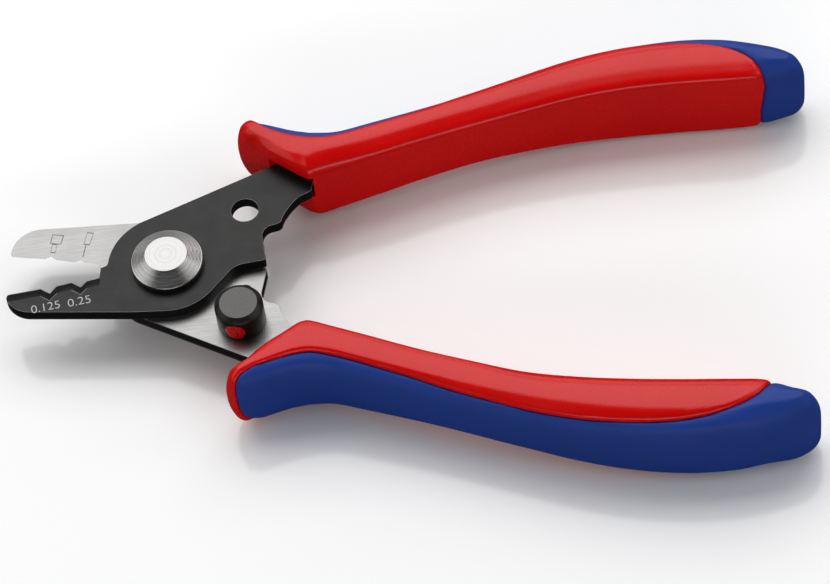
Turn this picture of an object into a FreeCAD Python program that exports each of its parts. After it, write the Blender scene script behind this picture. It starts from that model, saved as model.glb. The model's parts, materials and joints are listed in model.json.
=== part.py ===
import FreeCAD, Part
import math
import os
import re
import Sketcher
from FreeCAD import Placement, Rotation, Vector

# Fibre stripping pliers, drawn open. Every piece is drawn in the lever frame: origin on the pivot
# axis, +X towards the handles, z = 0 on the mating face between the two lever plates. The dark lever
# lies above that face. The bright lever and its handle are turned half a turn about X into place.

doc = FreeCAD.newDocument("fibre_stripper")

SIZES = {
    # where the pivot stands in the part's own frame
    "pivot_place_x": -37.45,
    "pivot_place_y": 0.0,
    "pivot_place_z": 7.3,
    # lever plates
    "plate_gap": 0.01,
    "plate_thick": 2.0,
    "pivot_hole_dia": 5.1,
    "chamber_dia": 9.8,
    "chamber_depth": 1.05,
    "spring_hole_dia": 0.8,
    "stop_hole_dia": 4.4,
    "stop_hole_x": 11.75,
    "stop_hole_y": 9.85,
    "tang_hole_dia": 2.4,
    # pivot bolt with its washers and nut
    "shank_dia": 5.0,
    "head_washer_dia": 11.2,
    "head_washer_thick": 0.5,
    "head_dia": 11.4,
    "head_rim": 0.8,
    "head_flat_dia": 6.6,
    "head_rise": 1.45,
    "nut_washer_dia": 9.4,
    "nut_washer_thick": 0.4,
    "nut_dia": 8.6,
    "nut_thick": 1.8,
    "nut_slot_wide": 1.2,
    "nut_slot_deep": 0.7,
    # opening spring in the chamber between the plates
    "wire_dia": 0.6,
    "coil_dia": 7.8,
    "coil_pitch": 0.62,
    "coil_rise": 1.24,
    # stop post with its screw
    "post_dia": 7.6,
    "post_tall": 4.75,
    "post_chamfer": 0.85,
    "post_chamfer_tall": 0.7,
    "post_tail_dia": 4.36,
    "screw_hole_dia": 2.5,
    "screw_dia": 2.46,
    "screw_axis_z": 1.75,
    "screw_turn": 80.0,
    "screw_reach": 5.0,
    "screw_back": 2.9,
    "screw_point": 0.5,
    "lacquer_thick": 0.7,
    # handles
    "corner_in": 1.8,
    "corner_out": 4.0,
    "front_round": 0.8,
    "slot_low": -0.45,
    "slot_high": 2.45,
    "grip_thick": 1.5,
    "slab_half": 9.0,
}

# Handle stations, front to back: distance along the tool, inner side, outer side, half height
STATIONS = {
    "front": (7.0, 11.0, 26.4, 6.0),
    "guard": (14.0, 12.9, 25.3, 6.4),
    "throat": (20.5, 14.3, 23.5, 6.6),
    "finger": (26.0, 15.3, 23.55, 6.45),
    "waist": (32.0, 17.0, 25.2, 6.2),
    "narrow": (40.0, 19.8, 28.0, 5.95),
    "middle": (48.0, 22.5, 30.9, 5.85),
    "palm": (56.0, 24.7, 33.7, 6.1),
    "swell": (64.0, 26.3, 35.9, 6.75),
    "full": (72.0, 27.3, 37.5, 7.2),
    "belly": (80.0, 27.8, 38.15, 7.3),
    "heel": (87.0, 28.1, 37.8, 7.25),
    "cap": (92.5, 28.4, 37.1, 7.0),
    "turn": (96.5, 28.8, 36.1, 6.15),
    "end": (99.1, 29.6, 34.9, 4.4),
    "nose": (100.4, 30.6, 33.8, 2.2),
}
for station, values in STATIONS.items():
    for side, value in zip(("x", "inner", "outer", "half"), values):
        SIZES[f"{station}_{side}"] = value

sheet = doc.addObject("Spreadsheet::Sheet", "sizes")
for row, (alias, number) in enumerate(SIZES.items(), start=1):
    sheet.set(f"A{row}", alias)
    sheet.set(f"B{row}", str(number))
    sheet.setAlias(f"B{row}", alias)
doc.recompute()


# ---------------------------------------------------------------- helpers


def with_sheet(formula):
    """The formula with the sheet's name before each alias; a word before a bracket is a function."""
    return re.sub(r"\b([a-z]\w+)\b(?!\()", r"sizes.\1", formula)


def bind(feature, prop, formula):
    feature.setExpression(prop, with_sheet(formula))


def number(formula):
    """The present value of a formula."""
    return float(sheet.evalExpression(with_sheet(formula)))


def new_body(label):
    body = doc.addObject("PartDesign::Body", label)
    body.Label = label
    return body


def new_sketch(body, name, role="XY_Plane", offset=None):
    """A sketch on one of the body's own origin planes, moved along its normal by a formula."""
    sketch = body.newObject("Sketcher::SketchObject", name)
    plane = [f for f in body.Origin.OriginFeatures if f.Role == role][0]
    sketch.AttachmentSupport = [(plane, "")]
    sketch.MapMode = "FlatFace"
    if offset:
        bind(sketch, "AttachmentOffset.Base.z", offset)
    return sketch


def fix_point(sketch, geometry, end, across, up):
    """Tie one point of a sketch to a pair of formulas."""
    for kind, formula in (("DistanceX", across), ("DistanceY", up)):
        index = sketch.addConstraint(Sketcher.Constraint(kind, -1, 1, geometry, end, number(formula)))
        if re.search(r"[a-z]", formula):
            bind(sketch, f"Constraints[{index}]", formula)


def draw_circle(sketch, diameter, across="0", up="0"):
    """A circle whose diameter and centre follow the sheet."""
    middle = Vector(number(across), number(up), 0)
    circle = sketch.addGeometry(Part.Circle(middle, Vector(0, 0, 1), 0.5 * number(diameter)))
    fix_point(sketch, circle, 3, across, up)
    index = sketch.addConstraint(Sketcher.Constraint("Diameter", circle, number(diameter)))
    bind(sketch, f"Constraints[{index}]", diameter)


def draw_polygon(sketch, corners):
    """A closed polygon whose corners are pairs of formulas."""
    points = [Vector(number(across), number(up), 0) for across, up in corners]
    count = len(points)
    for i in range(count):
        sketch.addGeometry(Part.LineSegment(points[i], points[(i + 1) % count]))
    for i in range(count):
        sketch.addConstraint(Sketcher.Constraint("Coincident", i, 2, (i + 1) % count, 1))
    for i, (across, up) in enumerate(corners):
        fix_point(sketch, i, 1, across, up)


def draw_outline(sketch, start, steps):
    """A closed outline. A step is a line's end point, or an arc's middle and end points."""
    here = Vector(*start, 0)
    for step in list(steps) + [start]:
        is_arc = isinstance(step[0], tuple)
        end = Vector(*(step[1] if is_arc else step), 0)
        if is_arc:
            sketch.addGeometry(Part.Arc(here, Vector(*step[0], 0), end))
        else:
            sketch.addGeometry(Part.LineSegment(here, end))
        here = end


def draw_spline(sketch, points):
    """A smooth open curve through the points."""
    curve = Part.BSplineCurve()
    curve.interpolate([Vector(*p, 0) for p in points])
    sketch.addGeometry(curve)


def pad(body, sketch, length, both_ways=False, flip=False):
    feature = body.newObject("PartDesign::Pad", sketch.Name + "_pad")
    feature.Profile = sketch
    bind(feature, "Length", length)
    feature.Midplane = both_ways
    feature.Reversed = flip
    sketch.Visibility = False
    doc.recompute()
    return feature


def pocket(body, sketch, length, flip=False, both_ways=False, along=None):
    """Cut a sketch's shape away, and make sure that it took something off."""
    before = body.Shape.Volume
    feature = body.newObject("PartDesign::Pocket", sketch.Name + "_cut")
    feature.Profile = sketch
    bind(feature, "Length", length)
    feature.Reversed = flip
    feature.Midplane = both_ways
    if along:
        feature.UseCustomVector = True
        feature.Direction = along
        feature.AlongSketchNormal = True
    doc.recompute()
    if body.Shape.Volume > before - 1e-3:
        raise RuntimeError(feature.Name + " cuts nothing")
    return feature


def revolve(body, sketch):
    """Turn an XZ profile a full turn about the sketch's vertical axis."""
    feature = body.newObject("PartDesign::Revolution", sketch.Name + "_turned")
    feature.Profile = sketch
    feature.ReferenceAxis = (sketch, ["V_Axis"])
    feature.Angle = 360
    doc.recompute()
    return feature


def draw_rounded_box(sketch, low, high, half, small, large):
    """A box from low to high, as far below the axis as above, with small and large corner radii."""
    ring = [
        (low, f"{small}-{half}"), (low, f"{half}-{small}"),
        (f"{low}+{small}", half), (f"{high}-{large}", half),
        (high, f"{half}-{large}"), (high, f"{large}-{half}"),
        (f"{high}-{large}", f"-{half}"), (f"{low}+{small}", f"-{half}"),
    ]
    points = [Vector(number(across), number(up), 0) for across, up in ring]
    bulge = 1 - math.sqrt(0.5)
    for i in range(0, 8, 2):
        a, b = points[i + 1], points[(i + 2) % 8]
        corner = Vector(a.x, b.y, 0) if i in (0, 4) else Vector(b.x, a.y, 0)
        middle = corner + (a + b - corner - corner) * bulge
        sketch.addGeometry(Part.LineSegment(points[i], points[i + 1]))
        sketch.addGeometry(Part.Arc(a, middle, b))
    for i, radius in zip(range(0, 8, 2), (small, large, large, small)):
        arc = i + 1
        fix_point(sketch, i, 1, *ring[i])
        fix_point(sketch, i, 2, *ring[i + 1])
        first = 1 if sketch.getPoint(arc, 1).distanceToPoint(points[i + 1]) < 1e-6 else 2
        sketch.addConstraint(Sketcher.Constraint("Coincident", arc, first, i, 2))
        sketch.addConstraint(Sketcher.Constraint("Coincident", arc, 3 - first, (i + 2) % 8, 1))
        index = sketch.addConstraint(Sketcher.Constraint("Radius", arc, number(radius)))
        bind(sketch, f"Constraints[{index}]", radius)


def circle_point(radius, degrees):
    return (radius * math.cos(math.radians(degrees)), radius * math.sin(math.radians(degrees)))


def place(piece, flipped=False):
    """Put a piece, drawn in the lever frame, where the pivot stands; the lower side is turned over."""
    piece.Placement = Placement(Vector(0, 0, 0), Rotation(Vector(1, 0, 0), 180 if flipped else 0))
    for letter in "xyz":
        bind(piece, "Placement.Base." + letter, "pivot_place_" + letter)


# ---------------------------------------------------------------- lever plates

HEAD_BACK = 9.55          # radius of the head's outer side
HEAD_FRONT = 8.9          # radius of the head's inner side

BEVEL_RUN = (0.45, -2.8)  # how far the bevel leans over the plate's thickness
BEVEL_REACH = 5.0         # how far past the edge the bevel's cut reaches

TANG_INNER = [(22.7, 16.6), (30.0, 18.3), (40.0, 21.9), (50.0, 25.0), (60.0, 27.6), (68.0, 29.2)]
TANG_OUTER = [(68.0, 32.8), (60.0, 31.4), (50.0, 28.6), (40.0, 25.4), (30.0, 22.2), (24.0, 20.9)]
TANG_HOLES = [(33.0, 21.2), (48.0, 26.3), (62.0, 30.0)]


def lever_steps(tip_steps):
    """The outline after the jaw: the head, the tooth, the notch, and the tang inside the handle."""
    return tip_steps + [
        (circle_point(HEAD_FRONT, -60), circle_point(HEAD_FRONT, -31)),
        (9.3, -2.4),
        ((10.35, -1.2), (11.9, -0.5)),
        (14.75, 0.0),
        ((15.2, 0.15), (15.3, 0.6)),
        (14.65, 4.7),
        ((15.1, 6.1), (16.3, 6.75)),
        (17.1, 7.0),
        ((17.45, 7.3), (17.7, 8.1)),
        ((18.7, 10.1), (20.3, 12.1)),
        (22.1, 13.1),
        *TANG_INNER,
        ((69.8, 31.2), TANG_OUTER[0]),
        *TANG_OUTER[1:],
        (18.2, 19.5),
        circle_point(HEAD_BACK, 121),
        (circle_point(HEAD_BACK, 149), circle_point(HEAD_BACK, 175)),
        ((-9.75, 0.2), (-10.1, 0.0)),
    ]


def lever(label, start, tip_steps, edge):
    """A ground plate: blank, bevelled stripping edge, holes and one half of the spring chamber."""
    body = new_body(label)
    blank = new_sketch(body, label + "_blank", offset="plate_gap")
    draw_outline(blank, start, lever_steps(tip_steps))
    pad(body, blank, "plate_thick")
    bevel = new_sketch(body, label + "_bevel", offset="plate_gap-0.5*plate_thick")
    back = [(x - 0.5 * BEVEL_RUN[0], y - 0.5 * BEVEL_RUN[1]) for x, y in edge]
    draw_outline(bevel, back[0], back[1:] + [(back[-1][0], BEVEL_REACH), (back[0][0], BEVEL_REACH)])
    pocket(body, bevel, "2*plate_thick", along=Vector(*BEVEL_RUN, number("plate_thick")))
    holes = new_sketch(body, label + "_holes", offset="plate_gap")
    draw_circle(holes, "pivot_hole_dia")
    draw_circle(holes, "stop_hole_dia", "stop_hole_x", "stop_hole_y")
    draw_circle(holes, "spring_hole_dia", "0.5*coil_dia")
    for x, y in TANG_HOLES:
        draw_circle(holes, "tang_hole_dia", str(x), str(y))
    pocket(body, holes, "plate_thick", flip=True)
    chamber = new_sketch(body, label + "_chamber", offset="plate_gap")
    draw_circle(chamber, "chamber_dia")
    pocket(body, chamber, "chamber_depth", flip=True)
    return body


# Each edge runs from the shoulder to the tip and holds two vee notches
DARK_EDGE = [(-11.05, -0.7), (-13.1, -1.25), (-13.95, -2.35), (-15.45, -1.4), (-17.75, -1.95),
             (-18.8, -3.3), (-20.3, -2.35), (-27.0, -3.5)]
BRIGHT_EDGE = [(-11.2, -2.0), (-13.5, -2.35), (-14.3, -2.95), (-15.2, -2.55), (-18.15, -3.15),
               (-19.0, -3.85), (-19.9, -3.45), (-22.8, -3.75), (-27.0, -4.4)]
DARK_TIP = [
    (-11.05, -0.3),
    (-24.7, -2.75),
    ((-25.3, -3.15), (-25.5, -3.9)),
    ((-24.4, -6.7), (-21.6, -8.1)),
    (-5.1, -8.88),
    (0.0, -HEAD_FRONT),
]
BRIGHT_TIP = [
    (-11.2, -1.6),
    (-24.8, -3.8),
    ((-25.3, -4.2), (-25.45, -4.9)),
    ((-24.3, -7.6), (-20.8, -9.25)),
    (-5.1, -9.7),
    (0.0, -HEAD_FRONT),
]
dark_lever = lever("dark_jaw_lever", (-10.55, -0.2), DARK_TIP, DARK_EDGE)
bright_lever = lever("bright_jaw_lever", (-10.55, -0.2), BRIGHT_TIP, BRIGHT_EDGE)
place(dark_lever)
place(bright_lever, flipped=True)


# ---------------------------------------------------------------- pivot: bolt, washers, nut, spring


def turned(label, corners):
    """A piece turned from an XZ profile whose corners are (radius, height) formulas."""
    body = new_body(label)
    profile = new_sketch(body, label + "_profile", role="XZ_Plane")
    draw_polygon(profile, corners)
    revolve(body, profile)
    place(body)
    return body


def ring(label, inner_dia, outer_dia, low, high):
    inner, outer = f"0.5*{inner_dia}", f"0.5*{outer_dia}"
    return turned(label, [(inner, low), (outer, low), (outer, high), (inner, high)])


PLATE_TOP = "plate_gap+plate_thick"
HEAD_SEAT = f"{PLATE_TOP}+plate_gap+head_washer_thick"
NUT_SEAT = f"-{PLATE_TOP.replace('+', '-')}-nut_washer_thick"
NUT_END = f"{NUT_SEAT}-nut_thick"

pivot_bolt = turned("pivot_bolt", [
    ("0", NUT_END),
    ("0.5*shank_dia-0.3", NUT_END),
    ("0.5*shank_dia", NUT_END + "+0.3"),
    ("0.5*shank_dia", HEAD_SEAT),
    ("0.5*head_dia", HEAD_SEAT),
    ("0.5*head_dia", HEAD_SEAT + "+head_rim"),
    ("0.5*head_flat_dia", HEAD_SEAT + "+head_rim+head_rise"),
    ("0", HEAD_SEAT + "+head_rim+head_rise"),
])
ring("head_washer", "pivot_hole_dia", "head_washer_dia", PLATE_TOP + "+plate_gap", HEAD_SEAT)
ring("nut_washer", "pivot_hole_dia", "nut_washer_dia", NUT_SEAT, NUT_SEAT + "+nut_washer_thick")
pivot_nut = turned("pivot_nut", [
    ("0.5*shank_dia", NUT_END),
    ("0.5*nut_dia-0.4", NUT_END),
    ("0.5*nut_dia", NUT_END + "+0.4"),
    ("0.5*nut_dia", NUT_SEAT),
    ("0.5*shank_dia", NUT_SEAT),
])
slot = new_sketch(pivot_nut, "nut_slot", offset=NUT_END)
draw_polygon(slot, [
    ("-nut_dia", "-0.5*nut_slot_wide"), ("nut_dia", "-0.5*nut_slot_wide"),
    ("nut_dia", "0.5*nut_slot_wide"), ("-nut_dia", "0.5*nut_slot_wide"),
])
pocket(pivot_nut, slot, "nut_slot_deep", flip=True)

spring = new_body("opening_spring")
wire = new_sketch(spring, "spring_wire", role="XZ_Plane")
draw_circle(wire, "wire_dia", "0.5*coil_dia", "-0.5*coil_rise")
coil = spring.newObject("PartDesign::AdditiveHelix", "spring_coil")
coil.Profile = wire
coil.ReferenceAxis = (wire, ["V_Axis"])
coil.Mode = 0
bind(coil, "Pitch", "coil_pitch")
bind(coil, "Height", "coil_rise")
doc.recompute()
for name, low in (("spring_leg_up", "0.5*coil_rise"), ("spring_leg_down", "-plate_thick+0.3")):
    leg = new_sketch(spring, name, offset=low)
    draw_circle(leg, "wire_dia", "0.5*coil_dia")
    pad(spring, leg, "plate_thick-0.3-0.5*coil_rise")
place(spring)


# ---------------------------------------------------------------- stop post, set screw, lacquer


def stand_on_stop(piece, rotation, height):
    """Put a piece drawn about the post's axis where the post stands on the bright lever."""
    piece.Placement = Placement(Vector(0, 0, 0), rotation)
    bind(piece, "Placement.Base.x", "pivot_place_x+stop_hole_x")
    bind(piece, "Placement.Base.y", "pivot_place_y-stop_hole_y")
    bind(piece, "Placement.Base.z", "pivot_place_z+" + height)


screw_angle = math.radians(number("screw_turn"))
along_screw = Vector(math.cos(screw_angle), math.sin(screw_angle), 0)
post_turn = Rotation(Vector(0, 1, 0), along_screw)
screw_turn = Rotation(Vector(0, 0, 1), along_screw)

stop_post = turned("stop_post", [
    ("0", f"-{PLATE_TOP.replace('+', '-')}"),
    ("0.5*post_tail_dia", f"-{PLATE_TOP.replace('+', '-')}"),
    ("0.5*post_tail_dia", "-plate_gap"),
    ("0.5*post_dia", "-plate_gap"),
    ("0.5*post_dia", "post_tall-post_chamfer_tall"),
    ("0.5*post_dia-post_chamfer", "post_tall"),
    ("0", "post_tall"),
])
cross_hole = new_sketch(stop_post, "post_cross_hole", role="XZ_Plane")
draw_circle(cross_hole, "screw_hole_dia", "0", "screw_axis_z")
pocket(stop_post, cross_hole, "2*post_dia", both_ways=True)
stand_on_stop(stop_post, post_turn, "0")

set_screw = turned("stop_set_screw", [
    ("0", "-screw_back"),
    ("0.5*screw_dia", "-screw_back"),
    ("0.5*screw_dia", "screw_reach-screw_point"),
    ("0.5*screw_dia-screw_point", "screw_reach"),
    ("0", "screw_reach"),
])
stand_on_stop(set_screw, screw_turn, "screw_axis_z")

lacquer = turned("sealing_lacquer", [
    ("0", "-screw_back-lacquer_thick"),
    ("0.5*screw_dia", "-screw_back-lacquer_thick"),
    ("0.5*screw_dia", "-screw_back"),
    ("0", "-screw_back"),
])
stand_on_stop(lacquer, screw_turn, "screw_axis_z")


# ---------------------------------------------------------------- handles

FRONT_LINE = [(22.3, 13.4), (12.5, 22.05)]
FRONT_NOSE = ((11.0, 23.9), (13.0, 25.75))
FRONT_CUT = (5.0, 40.0)
MOUTH = [(12.0, 16.9), (18.2, 20.0), (19.6, 20.3), (22.6, 16.6), (22.6, 11.0), (12.0, 11.0)]
GRIP_LINE = [
    (12.4, 27.5), (12.9, 25.0), (14.6, 23.1), (18.0, 21.45), (21.3, 20.8), (25.4, 20.85),
    (30.5, 22.3), (38.6, 25.5), (50.8, 30.2), (65.3, 34.75), (72.5, 35.7), (78.3, 35.9),
    (83.3, 35.4), (87.0, 34.2), (90.6, 32.4), (92.5, 30.6), (93.7, 28.2), (94.0, 25.0),
]


def loft(body, sketches):
    feature = body.newObject("PartDesign::AdditiveLoft", body.Name + "_loft")
    feature.Profile = sketches[0]
    feature.Sections = sketches[1:]
    feature.Ruled = False
    doc.recompute()
    return feature


def handle_form(label):
    """The outer shape: a loft, cut along the slanted front with its rounded guard nose."""
    body = new_body(label)
    sketches = []
    for station in STATIONS:
        sketch = new_sketch(body, f"{label}_{station}", role="YZ_Plane", offset=station + "_x")
        width = f"({station}_outer-{station}_inner)"
        small = f"min(corner_in;0.45*{width};0.8*{station}_half)"
        large = f"min(corner_out;0.5*{width};0.8*{station}_half)"
        sides = (f"{station}_inner", f"{station}_outer", f"{station}_half")
        draw_rounded_box(sketch, *sides, small, large)
        sketches.append(sketch)
    loft(body, sketches)
    front = new_sketch(body, label + "_front", offset="-slab_half")
    (x0, y0), (x1, y1) = FRONT_LINE
    (low, high), (_, nose_end) = FRONT_CUT, FRONT_NOSE
    ahead = [(nose_end[0], high), (0.0, high), (0.0, low), (x0, low)]
    draw_outline(front, (x0, y0), [(x1, y1), FRONT_NOSE] + ahead)
    pocket(body, front, "2*slab_half", flip=True)
    return body


def round_front(body):
    """Round every edge where the front cut, flat or nose, meets the loft."""
    shape = body.Shape
    back = number("throat_x") + 1
    cut = [f for f in shape.Faces if f.Surface.TypeId != "Part::GeomBSplineSurface" and f.BoundBox.XMax < back]
    owners = {}
    for face in cut:
        for edge in face.Edges:
            owners[edge.hashCode()] = owners.get(edge.hashCode(), 0) + 1
    names = [f"Edge{i}" for i, e in enumerate(shape.Edges, start=1) if owners.get(e.hashCode()) == 1]
    cut_loft = body.Tip
    rounding = body.newObject("PartDesign::Fillet", body.Name + "_front_round")
    rounding.Base = (cut_loft, names)
    bind(rounding, "Radius", "front_round")
    doc.recompute()


def grip_core(label):
    """The hard inside that the soft grip wraps: the same loft, set in on its outer side."""
    body = new_body(label)
    sketches = []
    for station in CORE_STATIONS:
        sketch = new_sketch(body, f"{label}_{station}", role="YZ_Plane", offset=station + "_x")
        sides = (f"{station}_inner+0.3", f"{station}_outer-grip_thick", f"{station}_half-0.8*grip_thick")
        draw_rounded_box(sketch, *sides, "0.6*corner_in", "0.7*corner_out")
        sketches.append(sketch)
    loft(body, sketches)
    return body


def slab(label, draw, low, thick):
    """A flat tool that draws its own plan outline."""
    body = new_body(label)
    sketch = new_sketch(body, label + "_plan", offset=low)
    draw(sketch)
    pad(body, sketch, thick)
    return body


def draw_grip_zone(sketch):
    """Everything beyond the line where the soft grip meets the hard handle."""
    draw_spline(sketch, GRIP_LINE)
    corners = [GRIP_LINE[-1], (110.0, 25.0), (110.0, 45.0), (GRIP_LINE[0][0], 45.0), GRIP_LINE[0]]
    for a, b in zip(corners, corners[1:]):
        sketch.addGeometry(Part.LineSegment(Vector(*a, 0), Vector(*b, 0)))


def draw_mouth(sketch):
    draw_outline(sketch, MOUTH[0], MOUTH[1:])


def combine(kind, name, base, tool):
    feature = doc.addObject("Part::" + kind, name)
    feature.Base = base
    feature.Tool = tool
    doc.recompute()
    return feature


CORE_STATIONS = ["front", "guard", "throat", "finger", "waist", "narrow", "middle", "palm",
                 "swell", "full", "belly", "heel", "cap"]
handles = []
for side, flipped, plate in (("upper", False, dark_lever), ("lower", True, bright_lever)):
    form = handle_form(side + "_form")
    round_front(form)
    core = grip_core(side + "_core")
    zone = slab(side + "_zone", draw_grip_zone, "-slab_half", "2*slab_half")
    mouth = slab(side + "_mouth", draw_mouth, "slot_low", "slot_high-slot_low")
    for tool in (form, core, zone, mouth):
        place(tool, flipped)
    doc.recompute()
    outside = combine("Common", side + "_outside", form, zone)
    grip = combine("Cut", side + "_soft_grip", outside, core)
    hard = combine("Cut", side + "_hard", form, grip)
    slotted = combine("Cut", side + "_slotted", hard, mouth)
    shell = combine("Cut", side + "_handle_core", slotted, plate)
    handles += [shell, grip]


# ---------------------------------------------------------------- checks and files

NODES = [
    "dark_jaw_lever", "bright_jaw_lever", "pivot_bolt", "head_washer", "nut_washer", "pivot_nut",
    "opening_spring", "stop_post", "stop_set_screw", "sealing_lacquer", "upper_handle_core",
    "upper_soft_grip", "lower_handle_core", "lower_soft_grip",
]

doc.recompute()
for piece in doc.Objects:
    if "Invalid" in piece.State or "Error" in piece.State:
        raise RuntimeError(piece.Name + " did not compute")
os.makedirs("parts", exist_ok=True)
for node in NODES:
    shape = doc.getObjectsByLabel(node)[0].Shape
    if shape.isNull() or not shape.isValid() or len(shape.Solids) != 1:
        raise RuntimeError(node + " is not one valid solid")
    shape.exportStep(f"parts/{node}.step")
    print(f"{node:20s} {shape.Volume:9.2f} mm3")
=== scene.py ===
import json
import math

import bmesh
import bpy
import numpy as np
from mathutils import Matrix, Vector, noise


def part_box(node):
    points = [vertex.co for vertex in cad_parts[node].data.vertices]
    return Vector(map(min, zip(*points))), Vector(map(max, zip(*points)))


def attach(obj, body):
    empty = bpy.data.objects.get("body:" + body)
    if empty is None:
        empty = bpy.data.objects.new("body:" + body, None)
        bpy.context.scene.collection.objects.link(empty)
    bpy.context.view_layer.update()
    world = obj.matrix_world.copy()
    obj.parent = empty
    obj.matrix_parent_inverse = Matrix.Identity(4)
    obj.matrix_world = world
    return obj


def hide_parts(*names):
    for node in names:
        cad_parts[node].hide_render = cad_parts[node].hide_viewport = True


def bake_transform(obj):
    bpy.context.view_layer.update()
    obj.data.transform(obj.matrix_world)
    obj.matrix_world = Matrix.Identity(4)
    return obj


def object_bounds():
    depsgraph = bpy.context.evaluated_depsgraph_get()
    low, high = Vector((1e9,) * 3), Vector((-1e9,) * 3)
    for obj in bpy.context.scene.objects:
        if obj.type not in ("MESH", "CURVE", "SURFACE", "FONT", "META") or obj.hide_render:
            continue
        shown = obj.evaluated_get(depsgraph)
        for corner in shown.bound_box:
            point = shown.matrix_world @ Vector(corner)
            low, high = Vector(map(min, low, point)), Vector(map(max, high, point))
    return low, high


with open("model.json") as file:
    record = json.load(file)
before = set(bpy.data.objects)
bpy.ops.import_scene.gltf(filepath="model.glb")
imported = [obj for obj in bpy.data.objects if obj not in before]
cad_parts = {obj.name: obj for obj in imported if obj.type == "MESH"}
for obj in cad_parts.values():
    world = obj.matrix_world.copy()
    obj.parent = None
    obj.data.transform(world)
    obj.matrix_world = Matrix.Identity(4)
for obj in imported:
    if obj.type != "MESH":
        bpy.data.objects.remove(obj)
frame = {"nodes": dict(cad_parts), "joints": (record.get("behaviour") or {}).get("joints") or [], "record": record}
cad_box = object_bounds()

# Lengths are in millimetres in the lever frame, as in the CAD model: origin on the pivot, +X towards
# the handles, z = 0 between the two plates. The lower side is the upper one turned over. Only the
# floor, the lamps and the camera are in metres in the part's own frame.
MM = 0.001
PIVOT = Vector(frame["joints"][0]["pos_m"])
BODY = {"upper": "dark_side", "lower": "bright_side"}


def to_frame(points, side="upper"):
    """Lever frame points in millimetres to frame points in metres."""
    turn = np.array([1, 1, 1]) if side == "upper" else np.array([1, -1, -1])
    return np.asarray(points, float) * turn * MM + np.array(PIVOT)


# ---------------------------------------------------------------- materials


SOCKETS = {"color": "Base Color", "rough": "Roughness", "metal": "Metallic", "normal": "Normal",
           "specular": "Specular IOR Level"}


class Nodes:
    """A material's node graph, started from one Principled shader."""

    def __init__(self, name):
        self.material = bpy.data.materials.new(name)
        self.material.use_nodes = True
        self.tree = self.material.node_tree
        self.shader = self.tree.nodes["Principled BSDF"]
        self.coords = self.tree.nodes.new("ShaderNodeTexCoord").outputs["Object"]

    def add(self, kind, inputs=None, **settings):
        """A shader node of a kind, with its inputs (values or sockets) and its settings."""
        node = self.tree.nodes.new("ShaderNode" + kind)
        for key, value in settings.items():
            setattr(node, key, value)
        for key, value in (inputs or {}).items():
            self.put(node.inputs[key], value)
        return node

    def put(self, socket, value):
        if isinstance(value, bpy.types.NodeSocket):
            self.tree.links.new(value, socket)
        else:
            socket.default_value = value

    def set(self, **inputs):
        """The Principled shader's inputs, by their short names in SOCKETS."""
        for key, value in inputs.items():
            self.put(self.shader.inputs[SOCKETS[key]], value)

    def stretched(self, scale, turn=0.0):
        """Coordinates scaled by three factors after a turn about Z."""
        turned = self.add("Mapping", {"Vector": self.coords, "Rotation": (0, 0, turn)})
        return self.add("Mapping", {"Vector": turned.outputs[0], "Scale": scale}).outputs[0]

    def noise(self, size_mm, detail=2.0, rough=0.5, where=None):
        """Noise with grains of a given size; most of its values lie between 0.3 and 0.7."""
        vector = where if where is not None else self.coords
        node = self.add("TexNoise", {"Vector": vector, "Scale": 1 / (size_mm * MM), "Detail": detail,
                                     "Roughness": rough})
        return node.outputs["Fac"]

    def span(self, value, low, high, start=0.3, end=0.7):
        """A value from start to end mapped to low to high, and held there outside that range."""
        node = self.add("MapRange", {"Value": value, "From Min": start, "From Max": end,
                                     "To Min": low, "To Max": high})
        return node.outputs["Result"]

    def blend(self, factor, first, second):
        """A mix of two colours, each given as a socket or as red, green and blue."""
        node = self.add("Mix", data_type="RGBA")
        self.put(node.inputs["Factor"], factor)
        for name, value in (("A", first), ("B", second)):
            socket = [s for s in node.inputs if s.name == name and s.type == "RGBA"][0]
            self.put(socket, value if isinstance(value, bpy.types.NodeSocket) else (*value, 1.0))
        return [s for s in node.outputs if s.type == "RGBA"][0]

    def facing_up(self, low, high, start, end):
        """low on side walls and high on flat tops and undersides, from the surface's own tilt."""
        normal = self.add("NewGeometry").outputs["Normal"]
        tilt = self.add("SeparateXYZ", {"Vector": normal}).outputs["Z"]
        level = self.add("Math", {0: tilt}, operation="ABSOLUTE").outputs[0]
        return self.span(level, low, high, start, end)

    def broken_edge(self):
        """1 on the rounded edges of a plate, 0 elsewhere; see bevelled()."""
        return self.add("Attribute", attribute_name="broken_edge").outputs["Fac"]

    def rings(self, pitch_mm):
        """A value that changes only with the distance from the pivot axis, as turning marks do."""
        spot = self.add("VectorMath", {0: self.coords, 1: tuple(PIVOT)}, operation="SUBTRACT")
        flat = self.add("VectorMath", {0: spot.outputs[0], 1: (1, 1, 0)}, operation="MULTIPLY")
        radius = self.add("VectorMath", {0: flat.outputs[0]}, operation="LENGTH").outputs["Value"]
        node = self.add("TexNoise", {"W": radius, "Scale": 1 / (pitch_mm * MM), "Detail": 2.0},
                        noise_dimensions="1D")
        return node.outputs["Fac"]

    def multiply(self, first, second):
        return self.add("Math", {0: first, 1: second}, operation="MULTIPLY").outputs[0]

    def bump(self, height, depth_mm, strength=1.0, under=None):
        inputs = {"Height": height, "Distance": depth_mm * MM, "Strength": strength}
        if under is not None:
            inputs["Normal"] = under
        return self.add("Bump", inputs).outputs[0]


def red_plastic():
    m = Nodes("red_moulded_plastic")
    grain = m.noise(0.16, 3.0, 0.6)
    drift = m.noise(14.0, 2.0)
    color = m.blend(m.span(drift, 0, 1), (0.58, 0.0005, 0.0005), (0.64, 0.001, 0.001))
    waves = m.bump(m.noise(5.0, 1.0), 0.03, 0.3)
    m.set(color=color, rough=m.span(grain, 0.21, 0.29), normal=m.bump(grain, 0.010, 0.6, waves))
    m.set(specular=0.32)
    return m.material


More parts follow.
